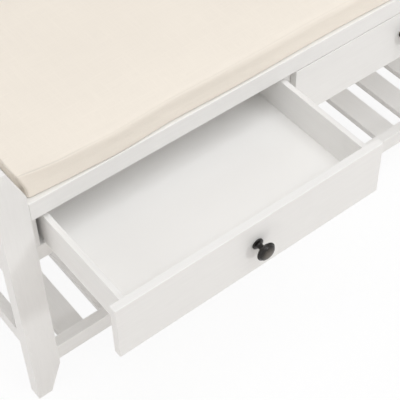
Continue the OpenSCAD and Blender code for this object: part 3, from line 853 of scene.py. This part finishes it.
class BENCH_OT_fasteners(bpy.types.Operator):
    """Sets the screws of the frame and the bolts of the knobs, and gives the dowels their wood"""
    bl_idname = "bench.fasteners"
    bl_label = "Screws and bolts"

    def execute(self, context):
        tree = fastener_tree()
        self.screws(tree)
        for side in SIDES:
            self.bolt(tree, side)
        for node in nodes_like("dowels", "left_drawer_dowels", "right_drawer_dowels"):
            NODES[node].data.materials.clear()
            NODES[node].data.materials.append(material_for(BEECH_SLOT))
        return {"FINISHED"}

    def screws(self, tree):
        """Finds each screw's place and size in the frame's screws, which are all alike."""
        parts = islands("screws")
        low, high = box_of(parts[0])
        width, _, length = sorted(high - low)
        screw = screw_mesh(length, width / 2, SHANK_R, SCREW_HEAD_H)
        mesh = fastened(tree, screw, [head_place(part) for part in parts], "screws")
        dress(new_object("frame_screws", mesh), ["screws"], STEEL_SLOT)

    def bolt(self, tree, side):
        """Sets a knob's bolt with its head on the inside of the drawer's front."""
        node = f"{side}_drawer_knob_bolt"
        low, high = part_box(node)
        middle = (low + high) / 2
        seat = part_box(f"{side}_drawer_front")[1].y
        head_h = high.y - seat
        bolt = bolt_mesh(high.y - low.y - head_h, (high.x - low.x) / 2, SHANK_R, head_h)
        place = Vector((middle.x, high.y - head_h, middle.z))
        mesh = fastened(tree, bolt, [(place, unit(1))], node)
        dress(new_object(node + "_steel", mesh), [node], STEEL_SLOT)


def spaced(length, near, step):
    """Shares of a length from 0 to 1, closer together near both of its ends."""
    ends = [0.0]
    for gap in near:
        ends.append(ends[-1] + gap)
    inner = length - 2 * ends[-1]
    count = max(2, round(inner / step))
    places = ends + [ends[-1] + inner * i / count for i in range(1, count)]
    places += [length - place for place in reversed(ends)]
    return [place / length for place in places]


def box_skin(steps):
    """Points and faces of a box's skin on a grid of whole numbers, facing outwards."""
    order, faces = {}, []

    def corner(*point):
        return order.setdefault(point, len(order))

    for axis in range(3):
        first, second = (axis + 1) % 3, (axis + 2) % 3
        for end in (0, steps[axis]):
            for i in range(steps[first]):
                for j in range(steps[second]):
                    face = []
                    for di, dj in ((0, 0), (1, 0), (1, 1), (0, 1)):
                        point = [0, 0, 0]
                        point[axis], point[first], point[second] = end, i + di, j + dj
                        face.append(corner(*point))
                    faces.append(face if end else face[::-1])
    return list(order), faces


def cushion_radius(point, size, rise):
    """The radius of the cushion's edge: small at the foot and the corners, largest on the right."""
    from_left, from_right = point.x + size.x, size.x - point.x
    right = smooth_step(from_right, *RIGHT_RUN)
    along = smooth_step(from_left, *LEFT_RUN) * right
    across = smooth_step(size.y - abs(point.y), *FACE_RUN)
    top_r = CORNER_R + (EDGE_R - CORNER_R) * max(along, across)
    top_r += (SOFT_R - EDGE_R) * smooth_step(from_left, *SOFT_RUN) * right
    return FOOT_R + (top_r - FOOT_R) * smooth_step(rise, *RISE_RUN_SHARES)


def cushion_push(point, size, half, rise):
    """How far a point of the cushion goes to the back, and how far up by its crown."""
    crown_power, pull_power = 0.8, 1.2
    u, v = point.x / size.x, point.y / size.y
    crown = CROWN_RISE * rise ** 2 * max(0.0, (1 - u ** 4) * (1 - v ** 4)) ** crown_power
    wave = WAVE_H * math.cos(math.tau * (point.x + half.x) / WAVE_L)
    near_end = max(0.0, 1 - (size.x - abs(point.x)) / CORNER_REACH)
    pull = CORNER_PULL * near_end ** pull_power
    pull *= FOOT_PULL_SHARE + (1 - FOOT_PULL_SHARE) * rise
    from_bulge = abs(point.x + half.x - BULGE_PLACE)
    bulge = BULGE * smooth_step(BULGE_REACH - from_bulge, 0, BULGE_REACH)
    return (wave - pull) * v * abs(v) ** 3 - bulge * max(0.0, -v) ** 4, crown


def cushion_point(share, low, high):
    """A point of the cushion's form from its shares of the cushion's box."""
    middle, half, half_h = (low + high) / 2, (high - low) / 2, EDGE_HEIGHT / 2
    height = share[2] * EDGE_HEIGHT
    lean = HEAD_LEAN * max(0.0, height - LEG_LIP)
    size = Vector((half.x + lean, half.y + FACE_PROUD, half_h))
    point = Vector((size.x * (2 * share[0] - 1), size.y * (2 * share[1] - 1), height - half_h))
    radius = cushion_radius(point, size, share[2])
    inner = Vector([max(-(s - radius), min(s - radius, p)) for s, p in zip(size, point)])
    if (point - inner).length > 0:
        point = inner + (point - inner).normalized() * radius
    back, up = cushion_push(point, size, half, share[2])
    point.y += back
    point.z += up
    return point + Vector((middle.x, middle.y, low.z + half_h))


def cushion_cage(low, high):
    """The cushion's mesh before it is filled, and the places of its seams in it."""
    shares = [spaced(high.x - low.x, END_GAPS, FLAT_STEP),
              spaced(high.y - low.y, END_GAPS, FLAT_STEP),
              spaced(EDGE_HEIGHT, RIM_GAPS, RISE_STEP)]
    steps = [len(line) - 1 for line in shares]
    grid, faces = box_skin(steps)
    mesh = bpy.data.meshes.new("cushion_cover")
    mesh.from_pydata([cushion_point([shares[axis][n] for axis, n in enumerate(place)], low, high)
                      for place in grid], [], faces)
    seams = [i for i, place in enumerate(grid)
             if sum(n in (0, step) for n, step in zip(place, steps)) > 1]
    return mesh, seams


def sew(mesh, seams, depth):
    """Draws the seams in, deepest near the ends, and marks them for painted shade in the cloth's
    colour, darkest where they are deepest.
    """
    far = max(vert.co.x for vert in mesh.vertices)
    near = min(vert.co.x for vert in mesh.vertices)
    marks = mesh.attributes.new("seam", "FLOAT", "POINT")
    normals = [mesh.vertices[i].normal.copy() for i in seams]
    for i, normal in zip(seams, normals):
        point = mesh.vertices[i].co
        pull = 1 - SEAM_FADE * smooth_step(min(point.x - near, far - point.x), *SEAM_RUN)
        marks.data[i].value = pull
        point -= normal * depth * pull


def simulate_cloth(piece, pressure):
    """Swells the cushion with cloth under pressure and returns where its points end."""
    modifier = piece.modifiers.new("cloth", "CLOTH")
    cloth = modifier.settings
    cloth.quality = 6
    cloth.use_pressure = True
    cloth.uniform_pressure_force = pressure
    cloth.effector_weights.gravity = 0
    cloth.tension_stiffness = cloth.compression_stiffness = 15
    cloth.shear_stiffness = 5
    cloth.bending_stiffness = 0.5
    modifier.point_cache.frame_start, modifier.point_cache.frame_end = 1, SWELL_FRAMES
    scene = bpy.context.scene
    for step in range(1, SWELL_FRAMES + 1):
        scene.frame_set(step)
    graph = bpy.context.evaluated_depsgraph_get()
    ended = [v.co.copy() for v in piece.evaluated_get(graph).data.vertices]
    piece.modifiers.remove(modifier)
    scene.frame_set(1)
    return ended


class BENCH_OT_cushion(bpy.types.Operator):
    """Fills the cushion and sews its seams"""
    bl_idname = "bench.cushion"
    bl_label = "Cushion"

    def execute(self, context):
        settings = context.scene.bench_cushion
        mesh, seams = cushion_cage(*CUSHION_BOX)
        piece = new_object("cushion_cover", mesh)
        self.fill(piece, seams, settings)
        sew(mesh, seams, settings.seam_depth)
        mesh.shade_smooth()
        smooth = piece.modifiers.new("finer", "SUBSURF")
        smooth.levels = smooth.render_levels = 1
        dress(piece, ["cushion"], CLOTH_SLOT)
        return {"FINISHED"}

    def fill(self, piece, seams, settings):
        """Moves the points towards their simulated places, less near a seam, never into a leg."""
        low, high = CUSHION_BOX
        middle = (low + high) / 2
        tree = KDTree(len(seams))
        for i in seams:
            tree.insert(piece.data.vertices[i].co, i)
        tree.balance()
        held = [tree.find(vert.co)[2] for vert in piece.data.vertices]
        ends = simulate_cloth(piece, settings.pressure)
        for vert, end, gap in zip(piece.data.vertices, ends, held):
            move = end - vert.co
            room = settings.most_move * smooth_step(gap, 0, settings.seam_hold)
            if move.length > room:
                move *= room / move.length
            if not low.x < vert.co.x < high.x and move.x * (vert.co.x - middle.x) > 0:
                move.x = 0
            vert.co += move
            vert.co.z = max(vert.co.z, low.z)


class BENCH_OT_stage(bpy.types.Operator):
    """Sets the floor, the light and the camera"""
    bl_idname = "bench.stage"
    bl_label = "Stage"

    def execute(self, context):
        stage = context.scene.bench_stage
        self.floor()
        self.world(stage.sky)
        for name, width, place in LAMPS:
            self.lamp(name, getattr(stage, name), width, place)
        self.camera()
        context.scene.view_settings.view_transform = "Standard"
        return {"FINISHED"}

    def floor(self):
        """A pale floor that holds shadows and looks nearly white where it is lit."""
        corners = [(x * FLOOR_HALF, y * FLOOR_HALF, 0)
                   for x, y in ((-1, -1), (1, -1), (1, 1), (-1, 1))]
        mesh = bpy.data.meshes.new("floor")
        mesh.from_pydata(corners, [], [(0, 1, 2, 3)])
        floor = new_object("floor", mesh)
        shader = ShaderTree(bpy.data.materials.new("pale_floor"))
        nodes = shader.tree.nodes
        nodes.remove(nodes["Principled BSDF"])
        shown = shader.shown()
        matte = shader.add("ShaderNodeBsdfDiffuse", {}, shader.blend(shown, FLOOR_COLOUR, WHITE))
        glow = shader.add("ShaderNodeEmission", {}, WHITE, 1.0)
        both = shader.add("ShaderNodeMixShader", {}, shown * FLOOR_GLOW, matte, glow)
        put(shader.tree, both, nodes["Material Output"].inputs[0])
        mesh.materials.append(shader.owner)

    def world(self, strength):
        """An even warm sky that lights the bench and is plain white where it is seen."""
        world = bpy.data.worlds.new("studio")
        bpy.context.scene.world = world
        shader = ShaderTree(world)
        shown = shader.shown()
        back = shader.tree.nodes["Background"]
        put(shader.tree, shader.blend(shown, SKY_TINT, WHITE), back.inputs["Color"])
        put(shader.tree, strength + (1 - strength) * shown, back.inputs["Strength"])

    def lamp(self, name, power, width, place):
        """A square soft lamp that faces the bench."""
        light = bpy.data.lights.new(name, "AREA")
        light.energy, light.size, light.color = power, width, LAMP_COLOUR
        lamp = bpy.data.objects.new(name, light)
        lamp.location = place
        lamp.rotation_euler = (LAMP_AIM - lamp.location).to_track_quat("-Z", "Y").to_euler()
        bpy.context.scene.collection.objects.link(lamp)

    def camera(self):
        """A camera at the photograph's place, with its lens and its shift."""
        data = bpy.data.cameras.new("camera")
        camera = bpy.data.objects.new("camera", data)
        camera.location = CAMERA_PLACE
        camera.rotation_euler = (math.pi / 2 - CAMERA_FALL, 0, -CAMERA_TURN)
        data.lens, data.sensor_width = LENS, SENSOR
        data.shift_x, data.shift_y = SHIFT
        bpy.context.scene.collection.objects.link(camera)
        bpy.context.scene.camera = camera


class BENCH_PT_panel(bpy.types.Panel):
    """Lists the settings and the steps that make the bench"""
    bl_idname = "BENCH_PT_panel"
    bl_label = "Shoe Storage Bench"
    bl_space_type = "VIEW_3D"
    bl_region_type = "UI"
    bl_category = "Bench"

    def draw(self, context):
        for name, group in SETTINGS:
            box = self.layout.box()
            for key in group.__annotations__:
                box.prop(getattr(context.scene, name), key)
        for operator in OPERATORS:
            self.layout.operator(operator.bl_idname)


SETTINGS = (("bench_paint", PaintSettings), ("bench_cushion", CushionSettings),
            ("bench_knob", KnobSettings), ("bench_stage", StageSettings))
OPERATORS = (BENCH_OT_legs, BENCH_OT_boards, BENCH_OT_slats, BENCH_OT_drawers, BENCH_OT_knobs,
             BENCH_OT_fasteners, BENCH_OT_cushion, BENCH_OT_stage)


def register():
    for name, group in SETTINGS:
        bpy.utils.register_class(group)
        setattr(bpy.types.Scene, name, PointerProperty(type=group))
    for item in (*OPERATORS, BENCH_PT_panel):
        bpy.utils.register_class(item)


def unregister():
    for item in (BENCH_PT_panel, *reversed(OPERATORS)):
        bpy.utils.unregister_class(item)
    for name, group in SETTINGS:
        delattr(bpy.types.Scene, name)
        bpy.utils.unregister_class(group)


def main():
    register()
    for operator in OPERATORS:
        area, name = operator.bl_idname.split(".")
        getattr(getattr(bpy.ops, area), name)()


if __name__ == "__main__":
    main()
